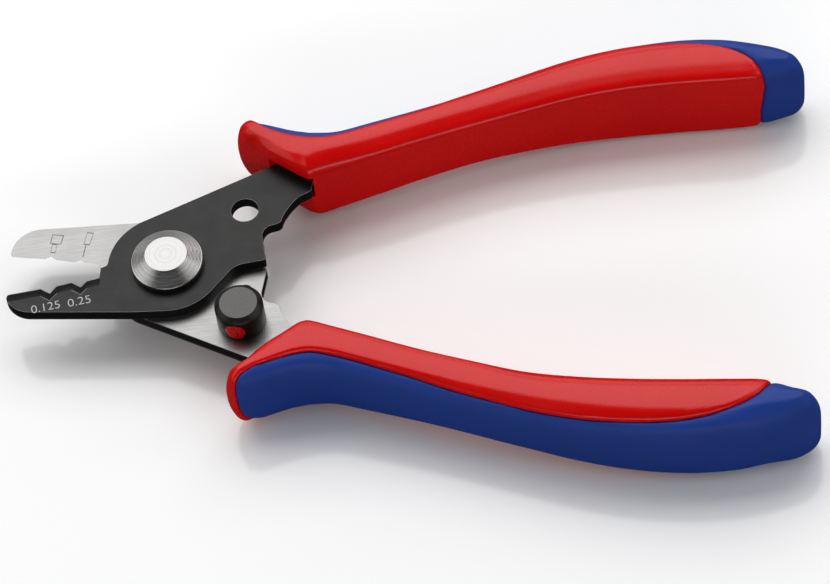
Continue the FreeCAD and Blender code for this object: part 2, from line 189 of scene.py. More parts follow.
def blue_plastic():
    m = Nodes("blue_soft_plastic")
    grain = m.noise(0.12, 4.0, 0.65)
    drift = m.noise(9.0, 2.0)
    color = m.blend(m.span(drift, 0, 1), (0.003, 0.034, 0.235), (0.004, 0.038, 0.27))
    m.set(color=color, rough=m.span(grain, 0.46, 0.58), normal=m.bump(grain, 0.02, 0.6))
    m.set(specular=0.30)
    return m.material


def burnished_steel():
    """The dark lever: satin, its walls of an even tone, and a painted highlight in specks on its edges."""
    m = Nodes("burnished_steel")
    grain = m.noise(1.0, 3.0, 0.6, m.stretched((0.35, 6.0, 1.0), 0.15))
    mottle = m.noise(3.0, 3.0)
    fleck = m.noise(0.10, 3.0, 0.7)
    face = m.blend(m.span(mottle, 0, 1), (0.014, 0.0138, 0.0135), (0.020, 0.0197, 0.0193))
    face = m.blend(m.facing_up(1, 0, 0.6, 0.95), face, (0.016, 0.0156, 0.0152))
    # painted highlight: the rounded edges painted light grey in specks
    painted_highlight = m.multiply(m.broken_edge(), m.span(fleck, 0.25, 1.0))
    color = m.blend(painted_highlight, face, (0.60, 0.59, 0.58))
    # painted highlight: no metal on the rounded edges, so that their light grey catches diffuse light
    metal = m.span(m.broken_edge(), 0.65, 0.0, 0.0, 1.0)
    m.set(color=color, metal=metal, rough=m.span(grain, 0.34, 0.46), normal=m.bump(grain, 0.003, 0.5))
    return m.material


def ground_steel():
    """The bright lever: faces with a fine grain along it, and walls painted dark as painted shade."""
    m = Nodes("ground_steel")
    grain = m.noise(0.5, 4.0, 0.65, m.stretched((0.12, 5.0, 1.0), -0.1))
    mottle = m.noise(4.0, 2.0)
    face = m.blend(m.span(grain, 0, 1), (0.22, 0.216, 0.213), (0.31, 0.306, 0.302))
    # painted shade: the side walls painted near black, the level faces keep the grained grey
    color = m.blend(m.facing_up(0, 1, 0.1, 0.6), (0.026, 0.0255, 0.025), face)
    m.set(color=color, metal=m.facing_up(0.65, 1.0, 0.1, 0.6), rough=m.span(mottle, 0.28, 0.36))
    m.set(normal=m.bump(grain, 0.004, 0.6))
    return m.material


def turned_steel():
    m = Nodes("turned_steel")
    coarse, fine = m.rings(0.30), m.rings(0.08)
    color = m.blend(m.span(coarse, 0, 1), (0.33, 0.325, 0.32), (0.40, 0.395, 0.39))
    bump = m.bump(coarse, 0.005, 1.0, m.bump(fine, 0.0015, 0.7))
    m.set(color=color, metal=1.0, rough=m.span(fine, 0.22, 0.32), normal=bump)
    return m.material


def black_oxide():
    """Black walls, and level tops and undersides painted a little lighter as a painted highlight."""
    m = Nodes("black_oxide")
    fleck = m.noise(0.5, 4.0, 0.6)
    wall = m.blend(m.span(fleck, 0, 1), (0.010, 0.010, 0.0105), (0.020, 0.020, 0.0205))
    # painted highlight: a lighter grey for the level faces, where the light falls on the tops
    painted_highlight = m.blend(m.span(fleck, 0, 1), (0.060, 0.059, 0.057), (0.090, 0.088, 0.085))
    color = m.blend(m.facing_up(0, 1, 0.93, 0.995), wall, painted_highlight)
    m.set(color=color, metal=0.6, rough=m.span(fleck, 0.30, 0.44), normal=m.bump(fleck, 0.008, 0.5))
    return m.material


def spring_wire():
    m = Nodes("spring_wire")
    fleck = m.noise(0.3, 3.0)
    color = m.blend(m.span(fleck, 0, 1), (0.44, 0.43, 0.41), (0.58, 0.57, 0.55))
    m.set(color=color, metal=1.0, rough=m.span(fleck, 0.25, 0.36))
    return m.material


def red_lacquer():
    m = Nodes("red_lacquer")
    fleck = m.noise(0.5, 3.0)
    color = m.blend(m.span(fleck, 0, 1), (0.42, 0.001, 0.001), (0.58, 0.003, 0.003))
    m.set(color=color, rough=m.span(fleck, 0.22, 0.5), normal=m.bump(fleck, 0.03, 0.6))
    m.set(specular=0.3)
    return m.material


def mark_white():
    m = Nodes("laser_mark")
    fleck = m.noise(0.08, 3.0, 0.7)
    color = m.blend(m.span(fleck, 0, 1), (0.42, 0.42, 0.42), (0.62, 0.62, 0.62))
    m.set(color=color, rough=m.span(fleck, 0.5, 0.7))
    return m.material


def mark_grey():
    m = Nodes("laser_line")
    fleck = m.noise(0.08, 3.0, 0.7)
    color = m.blend(m.span(fleck, 0, 1), (0.06, 0.06, 0.06), (0.12, 0.12, 0.12))
    m.set(color=color, rough=m.span(fleck, 0.5, 0.7))
    return m.material


FINISH = {
    "red_plastic": red_plastic(), "blue_soft_plastic": blue_plastic(),
    "burnished_steel": burnished_steel(), "ground_steel": ground_steel(),
    "turned_steel": turned_steel(), "black_oxide": black_oxide(),
    "spring_wire": spring_wire(), "red_lacquer": red_lacquer(),
}
NUMBER_MARK, SYMBOL_MARK = mark_white(), mark_grey()


# ---------------------------------------------------------------- mesh helpers


LEVEL = 0.9999            # the normal's height above which a plate's face is level and shaded flat


def finish_piece(obj, side_body, material, replaces=(), sharp=35.0, plates=False):
    mesh = obj.data
    mesh.materials.clear()
    mesh.materials.append(material)
    mesh.polygons.foreach_set("use_smooth", [True] * len(mesh.polygons))
    mesh.set_sharp_from_angle(angle=math.radians(sharp))
    if plates:
        for face in mesh.polygons:
            face.use_smooth = abs(face.normal.z) < LEVEL
    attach(obj, side_body)
    if replaces:
        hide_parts(*replaces)


def object_from(name, bm):
    """A new object in the scene from a bmesh, which is freed."""
    mesh = bpy.data.meshes.new(name)
    bm.to_mesh(mesh)
    bm.free()
    obj = bpy.data.objects.new(name, mesh)
    bpy.context.scene.collection.objects.link(obj)
    return obj


def apply_modifiers(obj):
    """Make the result of an object's modifiers its own mesh."""
    graph = bpy.context.evaluated_depsgraph_get()
    mesh = bpy.data.meshes.new_from_object(obj.evaluated_get(graph))
    obj.modifiers.clear()
    obj.data = mesh


def mesh_from(points, faces):
    """A bmesh from points and index lists; corners that coincide in a face are taken once."""
    bm = bmesh.new()
    verts = [bm.verts.new(p) for p in points]
    for face in faces:
        corners = list(dict.fromkeys(verts[i] for i in face))
        if len(corners) > 2:
            bm.faces.new(corners)
    return bm


def curve_through(rows, counts, before=None, after=None):
    """Catmull-Rom interpolation of rows of numbers; counts gives the steps within each interval.

    before and after stand for the rows beyond the ends, which otherwise go on straight.
    """
    rows = np.asarray(rows, float)
    before = 2 * rows[0] - rows[1] if before is None else before
    after = 2 * rows[-1] - rows[-2] if after is None else after
    ends = np.vstack([before, rows, after])
    out = []
    for i, count in enumerate(counts):
        a, b, c, d = ends[i:i + 4]
        for t in np.arange(count) / count:
            out.append(0.5 * (2 * b + (c - a) * t + (2 * a - 5 * b + 4 * c - d) * t**2
                              + (3 * b - a - 3 * c + d) * t**3))
    out.append(rows[-1])
    return np.array(out)


# ---------------------------------------------------------------- handles

# An edge profile: the drop from the top to where the edge starts, how far in it reaches the top, and
# the rounding lengths down the wall, on the edge's slope from each end, and on the top.
CREASE_FRONT = (1.8, 1.9, 1.3, 1.1, 1.3, 1.8)
CREASE = (1.1, 1.8, 1.0, 0.9, 1.1, 1.8)
CREASE_REAR = (0.9, 1.9, 0.8, 0.8, 1.1, 1.9)
FRONT = (1.3, 1.3, 1.0, 0.9, 0.9, 1.0)
CORNER = (1.7, 2.0, 1.2, 1.0, 1.2, 1.4)
NOSE = (2.7, 1.5, 3.0, 1.5, 1.5, 1.6)
OUTER = (2.3, 2.3, 1.7, 1.6, 1.6, 1.7)
END = (2.6, 2.2, 2.8, 1.7, 1.7, 2.2)

# The sides without a crease: towards the floor on both handles, and the lower handle's upper side
FLOOR_FRONT = (0.8, 0.8, 0.7, 0.45, 0.45, 0.7)
FLOOR_REAR = (0.5, 0.6, 0.5, 0.35, 0.35, 0.6)
FLOOR_OUTER = (1.7, 1.7, 1.4, 1.2, 1.2, 1.4)
FLOOR_END = (1.1, 1.2, 1.2, 0.8, 0.8, 1.2)
RIM_FRONT = (0.8, 1.1, 0.6, 0.5, 0.5, 0.6)
RIM_REAR = (1.2, 1.7, 0.8, 0.7, 0.7, 0.8)
FLOOR_SIDE = {CREASE_FRONT: FLOOR_FRONT, CREASE: FLOOR_FRONT, CREASE_REAR: FLOOR_REAR, CORNER: FRONT,
              OUTER: FLOOR_OUTER, END: FLOOR_END}
PLAIN_SIDE = {CREASE_FRONT: RIM_FRONT, CREASE: RIM_FRONT, CREASE_REAR: RIM_REAR, CORNER: FRONT}
SIDES = {"upper": ({}, FLOOR_SIDE), "lower": (FLOOR_SIDE, PLAIN_SIDE)}    # for z above 0, below 0

# Rows across the handle from front to rear: outer edge, inner edge, ridge between them, half height,
# outer profile, inner profile, and steps to the next row.
ROWS = [
    ((10.0, 23.8), (10.0, 23.8), (13.6, 22.9), 6.35, NOSE, NOSE, 4),
    ((10.35, 25.0), (10.25, 22.5), (13.7, 22.8), 6.35, NOSE, NOSE, 4),
    ((11.3, 25.95), (11.15, 21.25), (14.0, 22.5), 6.35, NOSE, NOSE, 4),
    ((12.7, 26.1), (12.8, 20.0), (14.7, 22.0), 6.4, NOSE, NOSE, 5),
    ((14.6, 25.5), (15.6, 18.05), (16.3, 21.1), 6.45, OUTER, FRONT, 6),
    ((17.0, 24.6), (18.9, 15.75), (18.6, 20.0), 6.5, OUTER, FRONT, 5),
    ((19.0, 23.95), (21.1, 14.2), (20.5, 19.3), 6.55, OUTER, CORNER, 4),
    ((20.6, 23.6), (22.2, 13.75), (21.7, 19.0), 6.6, OUTER, CORNER, 4),
    ((22.4, 23.35), (23.4, 14.15), (23.0, 18.9), 6.6, OUTER, CREASE_FRONT, 6),
    ((26.2, 23.55), (26.6, 15.2), (26.4, 19.4), 6.45, OUTER, CREASE_FRONT, 10),
    ((32.0, 25.35), (32.0, 17.0), (32.0, 21.2), 6.2, OUTER, CREASE, 13),
    ((40.0, 28.0), (40.0, 19.8), (40.0, 23.9), 5.95, OUTER, CREASE, 13),
    ((48.0, 30.85), (48.0, 22.3), (48.0, 26.5), 5.85, OUTER, CREASE, 13),
    ((56.0, 33.55), (56.0, 24.5), (56.0, 28.9), 6.1, OUTER, CREASE_REAR, 13),
    ((64.0, 35.85), (64.0, 26.2), (64.0, 30.9), 6.7, OUTER, CREASE_REAR, 13),
    ((72.0, 37.4), (72.0, 27.25), (72.0, 32.2), 7.15, OUTER, CREASE_REAR, 13),
    ((80.0, 38.1), (80.0, 27.8), (80.0, 32.9), 7.28, OUTER, CREASE_REAR, 11),
    ((87.0, 37.85), (87.0, 28.05), (87.0, 33.1), 7.25, OUTER, CREASE_REAR, 8),
    ((92.5, 36.9), (92.3, 28.35), (91.8, 32.9), 7.1, OUTER, CREASE_REAR, 6),
    ((96.6, 35.9), (96.2, 28.8), (94.8, 32.5), 6.9, END, END, 5),
    ((99.1, 34.6), (98.9, 29.7), (96.3, 32.2), 6.75, END, END, 5),
    ((100.1, 33.4), (100.1, 30.9), (96.9, 32.1), 6.65, END, END, 4),
    ((100.4, 32.2), (100.4, 32.2), (97.1, 32.1), 6.65, END, END, 1),
]

# Where the soft grip meets the hard handle, seen along the pivot
GRIP_LINE = [
    (11.4, 29.0), (11.4, 26.6), (11.75, 25.3), (12.6, 24.2), (14.3, 23.0), (16.1, 22.3), (18.6, 21.45),
    (20.9, 20.85), (23.2, 20.6), (25.6, 20.95), (29.5, 22.1), (33.4, 23.5), (38.6, 25.4), (44.5, 27.8),
    (50.8, 30.1), (58.0, 32.7), (65.3, 34.7), (72.5, 35.75), (78.3, 35.95), (83.3, 35.4), (87.0, 34.2),
    (90.3, 32.4), (92.3, 30.4), (93.4, 28.2), (93.8, 25.0),
]
WALL_STEPS, BEND_STEPS, SLOPE_STEPS, TOP_STEPS = 7, 6, 3, 6
FLAT_LEAST = 0.9          # the least width of the flat beside the ridge
CIRCLE = 0.5523           # handle length that makes a Bezier curve follow a quarter circle
WALL_CROWN = 0.12         # how far the side walls swell at mid height
TOP_CROWN = 0.22          # how far the top swells towards the ridge


def bend(a, corner, b, steps):
    """A rounded corner from a to b as a Bezier curve."""
    t = (np.arange(steps) / steps)[:, None]
    p, q = a + (corner - a) * CIRCLE, b + (corner - b) * CIRCLE
    return (1 - t)**3 * a + 3 * (1 - t)**2 * t * p + 3 * (1 - t) * t**2 * q + t**3 * b


def straight(a, b, steps):
    """Points from a to just before b."""
    t = (np.arange(steps) / steps)[:, None]
    return a + (b - a) * t


def edge_curve(profile, half, reach):
    """(distance in, height) from the wall's middle up over the edge to the ridge."""
    drop, inset, down, low, high, top = profile
    first, second = np.array([0.0, half - drop]), np.array([inset, half])
    slope = second - first
    length = np.hypot(*slope)
    along = slope / length
    down, top = min(down, half - drop), min(top, reach - inset - FLAT_LEAST)
    scale = min(1.0, length / (low + high))
    a = first - (0, down)
    b = first + along * low * scale
    c = second - along * high * scale
    d = second + (top, 0)
    end = np.array([reach, half])
    curve = np.vstack([
        straight(np.array([0.0, 0.0]), a, WALL_STEPS), bend(a, first, b, BEND_STEPS),
        straight(b, c, SLOPE_STEPS), bend(c, second, d, BEND_STEPS), straight(d, end, TOP_STEPS), [end],
    ])
    lift = np.clip((curve[:, 0] - inset) / (reach - inset), 0, 1)
    curve[:, 1] *= 1 - TOP_CROWN / half * (1 - lift)**2
    return curve


def handle_surface(side):
    """Points and faces of the whole closed outer shape of a handle."""
    above, below = SIDES[side]

    def numbers(outer, inner, ridge, half, outer_profile, inner_profile):
        """Three plan points, the half height, and the profiles: outer above and below, then inner."""
        profiles = [swap.get(p, p) for p in (outer_profile, inner_profile) for swap in (above, below)]
        return [*outer, *inner, *ridge, half, *sum(profiles, ())]

    table = [numbers(*row[:6]) for row in ROWS]
    # The rows turn back on themselves at both ends, so there the next row is the mirrored neighbour.
    before, after = (numbers(i, o, s, h, pi, po) for o, i, s, h, po, pi, _ in (ROWS[1], ROWS[-2]))
    rows = curve_through(table, [row[-1] for row in ROWS[:-1]], before, after)
    points, grid = [], []
    for r in rows:
        outer, inner, ridge, half = r[0:2], r[2:4], r[4:6], r[6]
        outer_above, outer_below, inner_above, inner_below = np.split(r[7:], 4)
        ring = []
        for edge, upper, lower in ((outer, outer_above, outer_below), (inner, inner_above, inner_below)):
            sides = []
            for profile, turn in ((upper, 1), (lower, -1)):
                reach = np.hypot(*(ridge - edge))
                curve = edge_curve(profile, half, reach)
                plan = edge + (ridge - edge) * (curve[:, :1] / reach)
                bulge = WALL_CROWN * np.clip(1 - (curve[:, 1] / (half - profile[0]))**2, 0, 1)
                away = (edge - ridge) / reach
                shift = (bulge - WALL_CROWN) * (1 - curve[:, 0] / reach)
                plan = plan + away * shift[:, None]
                sides.append(np.column_stack([plan, turn * curve[:, 1]]))
            ring.append(np.vstack([sides[1][:0:-1], sides[0]]))   # from the lower ridge to the upper
        outer_ring, inner_ring = ring
        loop = np.vstack([outer_ring, inner_ring[::-1][1:-1]])
        grid.append(np.arange(len(points), len(points) + len(loop)))
        points.extend(loop)
    faces = []
    for a, b in zip(grid, grid[1:]):
        for k in range(len(a)):
            following = (k + 1) % len(a)
            faces.append((a[k], b[k], b[following], a[following]))
    return np.array(points), faces


def inside_line(points, line):
    """True where a plan point lies inside the closed polygon."""
    x, y = points[:, 0], points[:, 1]
    inside = np.zeros(len(points), bool)
    for (x1, y1), (x2, y2) in zip(line, np.roll(line, -1, axis=0)):
        crosses = (y1 > y) != (y2 > y)
        at = x1 + (y - y1) * (x2 - x1) / np.where(y2 == y1, 1e-9, y2 - y1)
        inside ^= crosses & (x < at)
    return inside


GRIP_STEPS = 8
GRIP_CURVE = curve_through(GRIP_LINE, [GRIP_STEPS] * (len(GRIP_LINE) - 1))
GRIP_ZONE = np.vstack([GRIP_CURVE, [(115.0, 25.0), (115.0, 50.0), (11.4, 50.0)]])
FAR = 1e9

# How far the seam moves out towards the grip on the top side, and the places where it starts to
TOP_SEAM, TOP_SEAM_FRONT, TOP_SEAM_REAR = 0.45, 0.9, 0.8
SEAM_SHIFT_Z = 3.0        # the shift grows from this far below z = 0 to this far above it
FRONT_SEAM_Z_RUN = 2.0
FRONT_SEAM_X, FRONT_SEAM_RUN = 17.0, 5.0
REAR_SEAM_X, REAR_SEAM_RUN = 82.0, 10.0


def grip_distance(points):
    """Distance in plan from the line between grip and handle, positive on the grip."""
    plan = points[:, :2]
    best = np.full(len(plan), FAR)
    side = np.clip((points[:, 2] + SEAM_SHIFT_Z) / (2 * SEAM_SHIFT_Z), 0, 1)
    front = np.clip((FRONT_SEAM_X - plan[:, 0]) / FRONT_SEAM_RUN, 0, 1)
    rear = np.clip((plan[:, 0] - REAR_SEAM_X) / REAR_SEAM_RUN, 0, 1)
    above = np.clip((points[:, 2] - SEAM_SHIFT_Z) / FRONT_SEAM_Z_RUN, 0, 1)
    inward = side * (TOP_SEAM * (1 - rear) + TOP_SEAM_REAR * rear) + above * front * TOP_SEAM_FRONT
    for a, b in zip(GRIP_CURVE, GRIP_CURVE[1:]):
        run = b - a
        t = np.clip(((plan - a) @ run) / (run @ run), 0, 1)
        gap = plan - a - t[:, None] * run
        best = np.minimum(best, np.hypot(gap[:, 0], gap[:, 1]))
    return np.where(inside_line(plan, GRIP_ZONE), best, -best) - inward


def cut_along(bm, layer, level, snap=0.03):
    """Cut the mesh where the layer's value passes a level, so that vertices lie on that line."""
    level = float(np.float32(level))      # as the mesh layer stores it
    for v in bm.verts:
        if abs(v[layer] - level) < snap:
            v[layer] = level
    crossing = [e for e in bm.edges
                if (e.verts[0][layer] - level) * (e.verts[1][layer] - level) < 0]
    for e in crossing:
        a, b = e.verts
        share = (level - a[layer]) / (b[layer] - a[layer])
        _, new = bmesh.utils.edge_split(e, a, share)
        new[layer] = level
    for face in list(bm.faces):
        on = [v for v in face.verts if v[layer] == level]
        signs = {v[layer] > level for v in face.verts if v[layer] != level}
        if len(on) == 2 and len(signs) == 2 and not any(set(e.verts) == set(on) for e in face.edges):
            bmesh.utils.face_split(face, on[0], on[1])


# Levels of grip_distance at which the mesh gets a row of vertices, and how deep the red and the blue
# skin sink at some of them, which makes the groove between them
SEAM_LEVELS = [-1.3, -0.9, -0.6, -0.36, -0.2, -0.1, 0.0, 0.1, 0.25, 0.5, 0.85, 1.3, 1.9]
RED_SINK = [(-0.9, 0.0), (-0.6, 0.02), (-0.36, 0.10), (-0.2, 0.20), (-0.1, 0.30), (0.0, 0.42)]
BLUE_SINK = [(0.0, 0.80), (0.1, 0.50), (0.25, 0.32), (0.5, 0.22), (0.85, 0.12), (1.3, 0.04), (1.9, 0.0)]
GRIP_THICK = 1.3
WELD = 0.004


def handle_mesh(side):
    """The handle's outer shape with rows of vertices along the line where the grip starts."""
    points, faces = handle_surface(side)
    bm = mesh_from(points, faces)
    bmesh.ops.remove_doubles(bm, verts=bm.verts, dist=WELD)
    bmesh.ops.dissolve_degenerate(bm, edges=bm.edges, dist=WELD)
    bmesh.ops.recalc_face_normals(bm, faces=bm.faces)
    layer = bm.verts.layers.float.new("grip")
    values = grip_distance(np.array([v.co for v in bm.verts]))
    for v, value in zip(bm.verts, values):
        v[layer] = value
    for level in SEAM_LEVELS:
        cut_along(bm, layer, level)
    bm.normal_update()
    return bm, layer


def half_of_handle(side, keep_grip):
    """One closed piece: the hard handle with its recess, or the soft grip that fills it."""
    bm, layer = handle_mesh(side)
    on_grip = [f for f in bm.faces if sum(v[layer] for v in f.verts) > 0]
    normals = {v: sum((f.normal * f.calc_area() for f in v.link_faces), Vector()).normalized()
               for v in bm.verts}
    places = {v: v.co.copy() for v in bm.verts}
    table = BLUE_SINK if keep_grip else RED_SINK
    outside = set(on_grip) if keep_grip else set(bm.faces) - set(on_grip)
    steps, depths = zip(*table)
    twins = {}
    for face in on_grip:
        for v in face.verts:
            if v not in twins:
                twins[v] = bm.verts.new(places[v] - normals[v] * GRIP_THICK)
    for v in list(normals):
        v.co = places[v] - normals[v] * float(np.interp(v[layer], steps, depths))
    rim = [e for e in bm.edges if len({f in outside for f in e.link_faces}) == 2]
    recess = [[twins[v] for v in f.verts] for f in on_grip]
    walls = []
    for e in rim:
        loop = [l for l in e.link_loops if l.face in outside][0]
        a, b = loop.vert, loop.link_loop_next.vert
        walls.append([b, a, twins[a], twins[b]])
    drop = [f for f in bm.faces if f not in outside]
    for corners in recess:
        bm.faces.new(corners[::-1] if keep_grip else corners)
    for corners in walls:
        bm.faces.new(corners)
    bmesh.ops.delete(bm, geom=drop, context="FACES")
    bmesh.ops.delete(bm, geom=[v for v in bm.verts if not v.link_faces], context="VERTS")
    return bm


# The slot that the lever comes out of: its plan, and its height in the lever frame
MOUTH = [(9.0, 14.2), (18.2, 20.0), (19.6, 20.3), (22.6, 16.6), (22.6, 10.0), (9.0, 10.0)]
MOUTH_LOW, MOUTH_HIGH = -0.45, 4.0


def cut_mouth(obj, side):
    """Cut the lever's slot out of a hard handle."""
    count = len(MOUTH)
    points = [(x, y, z) for z in (MOUTH_LOW, MOUTH_HIGH) for x, y in MOUTH]
    faces = [tuple(range(count))[::-1], tuple(range(count, 2 * count))]
    faces += [(i, (i + 1) % count, count + (i + 1) % count, count + i) for i in range(count)]
    bm = mesh_from(to_frame(points, side), faces)
    bmesh.ops.recalc_face_normals(bm, faces=bm.faces)
    tool = object_from("mouth_tool", bm)
    modifier = obj.modifiers.new("mouth", "BOOLEAN")
    modifier.operation = "DIFFERENCE"
    modifier.solver = "EXACT"
    modifier.object = tool
    apply_modifiers(obj)
    bpy.data.objects.remove(tool)


def make_handles():
    """Both hard handles and both soft grips."""
    for side in ("upper", "lower"):
        for part, keep_grip, slot in (("handle_core", False, "red_plastic"),
                                      ("soft_grip", True, "blue_soft_plastic")):
            bm = half_of_handle(side, keep_grip)
            places = to_frame([v.co for v in bm.verts], side)
            for v, place in zip(bm.verts, places):
                v.co = place
            bmesh.ops.recalc_face_normals(bm, faces=bm.faces)
            obj = object_from(f"{side}_{part}_shaped", bm)
            if not keep_grip:
                cut_mouth(obj, side)
            finish_piece(obj, BODY[side], FINISH[slot], [f"{side}_{part}"], sharp=40.0)


make_handles()

# ---------------------------------------------------------------- metal parts


EDGE_SEGMENTS = 2
EDGE_ANGLE, FLAT_ANGLE = math.radians(38), math.radians(0.5)
EDGE_TILTS = (0.1, 0.99)      # a broken edge's faces have normals with a height between these
EDGE_HEIGHT = 1.5             # and rise at most this many edge widths


def bevelled(node, slot, body, width_mm):
    """A CAD piece with its edges broken, as grinding and tumbling leave them.

    Its face attribute "broken_edge" is 1 on the new edge faces, for the material.
    """
    bm = bmesh.new()
    bm.from_mesh(frame["nodes"][node].data)
    bmesh.ops.remove_doubles(bm, verts=bm.verts, dist=0.002 * MM)
    bmesh.ops.dissolve_limit(bm, angle_limit=FLAT_ANGLE, verts=bm.verts, edges=bm.edges)
    obj = object_from(node + "_finished", bm)
    modifier = obj.modifiers.new("broken_edges", "BEVEL")
    modifier.width = width_mm * MM
    modifier.segments = EDGE_SEGMENTS
    modifier.limit_method = "ANGLE"
    modifier.angle_limit = EDGE_ANGLE
    modifier.use_clamp_overlap = True
    apply_modifiers(obj)
    mesh = obj.data
    rounded = mesh.attributes.new("broken_edge", "FLOAT", "FACE")
    for face in mesh.polygons:
        heights = [mesh.vertices[i].co.z for i in face.vertices]
        narrow = max(heights) - min(heights) < EDGE_HEIGHT * width_mm * MM
        tilted = EDGE_TILTS[0] < abs(face.normal.z) < EDGE_TILTS[1]
        rounded.data[face.index].value = float(narrow and tilted)
    finish_piece(obj, body, FINISH[slot], [node], sharp=48.0, plates=True)


LATHE_STEPS = 192


def lathe(profile):
    """A solid turned about the pivot axis from (radius, height) pairs, from the axis to the axis."""
    points, rings = [], []
    for radius, height in profile:
        if radius == 0:
            rings.append([len(points)] * LATHE_STEPS)
            points.append(Vector((0, 0, height)))
            continue
        rings.append(list(range(len(points), len(points) + LATHE_STEPS)))
        for k in range(LATHE_STEPS):
            a = 2 * math.pi * k / LATHE_STEPS
            points.append(Vector((radius * math.cos(a), radius * math.sin(a), height)))
    faces = []
    for low, high in zip(rings, rings[1:]):
        for k in range(LATHE_STEPS):
            n = (k + 1) % LATHE_STEPS
            faces.append((low[k], low[n], high[n], high[k]))
    return mesh_from([PIVOT + p * MM for p in points], faces)


HEAD_RIM, HEAD_FLAT_RADIUS, SHANK_RADIUS, SHANK_CHAMFER = 0.8, 3.3, 2.5, 0.3
CONE_INSET = 0.16                       # from the head's radius in to where its cone starts
GROOVES, GROOVE_DEPTH, GROOVE_POINTS = 11, 0.03, 4
TURNING_MARKS, TURNING_DEPTH = 15, 0.007


def make_bolt():
    """The pivot bolt: fine turning marks on the head's flat, and coarser grooves on its cone."""
    low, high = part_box("pivot_bolt")
    top = (high.z - PIVOT.z) / MM
    foot = (low.z - PIVOT.z) / MM
    radius = (high.x - low.x) / 2 / MM
    washer_top = (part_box("head_washer")[1].z - PIVOT.z) / MM
    rim_top, flat, cone = washer_top + HEAD_RIM, HEAD_FLAT_RADIUS, radius - CONE_INSET
    profile = [(0, foot), (SHANK_RADIUS - SHANK_CHAMFER, foot), (SHANK_RADIUS, foot + SHANK_CHAMFER),
               (SHANK_RADIUS, washer_top), (radius - 0.12, washer_top), (radius, washer_top + 0.12),
               (radius, rim_top - 0.18), (radius - 0.05, rim_top - 0.06), (cone, rim_top)]
    for k in range(1, GROOVE_POINTS * GROOVES):
        share = k / (GROOVE_POINTS * GROOVES)
        dip = GROOVE_DEPTH * (0.5 - 0.5 * math.cos(2 * math.pi * k / GROOVE_POINTS))
        r = cone + (flat + 0.1 - cone) * share
        profile.append((r - dip * 0.5, rim_top + (top - 0.06 - rim_top) * share - dip * 0.85))
    profile += [(flat + 0.04, top - 0.02), (flat - 0.05, top)]
    for k in range(1, 2 * TURNING_MARKS):
        r = (flat - 0.05) * (1 - k / (2 * TURNING_MARKS))
        profile.append((r, top - (TURNING_DEPTH if k % 2 else 0.0)))
    profile.append((0, top))
    obj = object_from("pivot_bolt_turned", lathe(profile))
    finish_piece(obj, "bright_side", FINISH["turned_steel"], ["pivot_bolt"], sharp=50.0)


SCREW_ANGLE = 80.0                      # heading of the set screw in the part's plan, in degrees
SCREW_BACK, SCREW_REACH = 2.9, 5.0      # how far it goes from the post's axis, backwards and forwards
SCREW_RADIUS, SCREW_POINT = 1.23, 0.5
THREAD_PITCH, THREAD_SLOPE, THREAD_DEPTH = 0.5, 0.13 * 1.4, 0.16
THREAD_STEPS, THREAD_ROWS = 48, 16      # points round the screw, and rows of them per pitch


def make_set_screw():
    """The threaded screw through the stop post."""
    angle = math.radians(SCREW_ANGLE)
    along, up = Vector((math.cos(angle), math.sin(angle), 0)), Vector((0, 0, 1))
    turn = Matrix((up.cross(along), up, along)).transposed()
    steps = THREAD_STEPS
    low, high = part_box("stop_post")
    screw_low, screw_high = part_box("stop_set_screw")
    centre = Vector(((low.x + high.x) / 2, (low.y + high.y) / 2, (screw_low.z + screw_high.z) / 2))
    length = SCREW_BACK + SCREW_REACH
    count = int(length / THREAD_PITCH * THREAD_ROWS)
    points, faces = [], []
    for i in range(count + 1):
        z = -SCREW_BACK + length * i / count
        point = max(0.0, z - (SCREW_REACH - SCREW_POINT))
        for k in range(steps):
            a = 2 * math.pi * k / steps
            phase = (z / THREAD_PITCH - k / steps) % 1.0
            r = SCREW_RADIUS - THREAD_SLOPE * abs(2 * phase - 1)
            r = min(r, SCREW_RADIUS - point) if point else max(r, SCREW_RADIUS - THREAD_DEPTH)
            points.append(centre + turn @ Vector((r * math.cos(a), r * math.sin(a), z)) * MM)
    for i in range(count):
        for k in range(steps):
            n = (k + 1) % steps
            faces.append((i * steps + k, i * steps + n, (i + 1) * steps + n, (i + 1) * steps + k))
    faces.append(tuple(range(steps))[::-1])
    faces.append(tuple(range(count * steps, (count + 1) * steps)))
    obj = object_from("stop_set_screw_threaded", mesh_from(points, faces))
    finish_piece(obj, "bright_side", FINISH["black_oxide"], ["stop_set_screw"], sharp=40.0)


LACQUER_WIDE, LACQUER_TALL, LACQUER_Z = 1.6, 1.65, 2.0      # half sizes, and the middle's height
LACQUER_SWELL, LACQUER_RAGGED, LACQUER_GRIT = 0.22, 0.12, 0.10
LACQUER_LIFT, LACQUER_THIN = 0.03, 0.02     # at its rim: from the post to its face, and its thickness
LACQUER_STEPS, LACQUER_RINGS = 72, 9


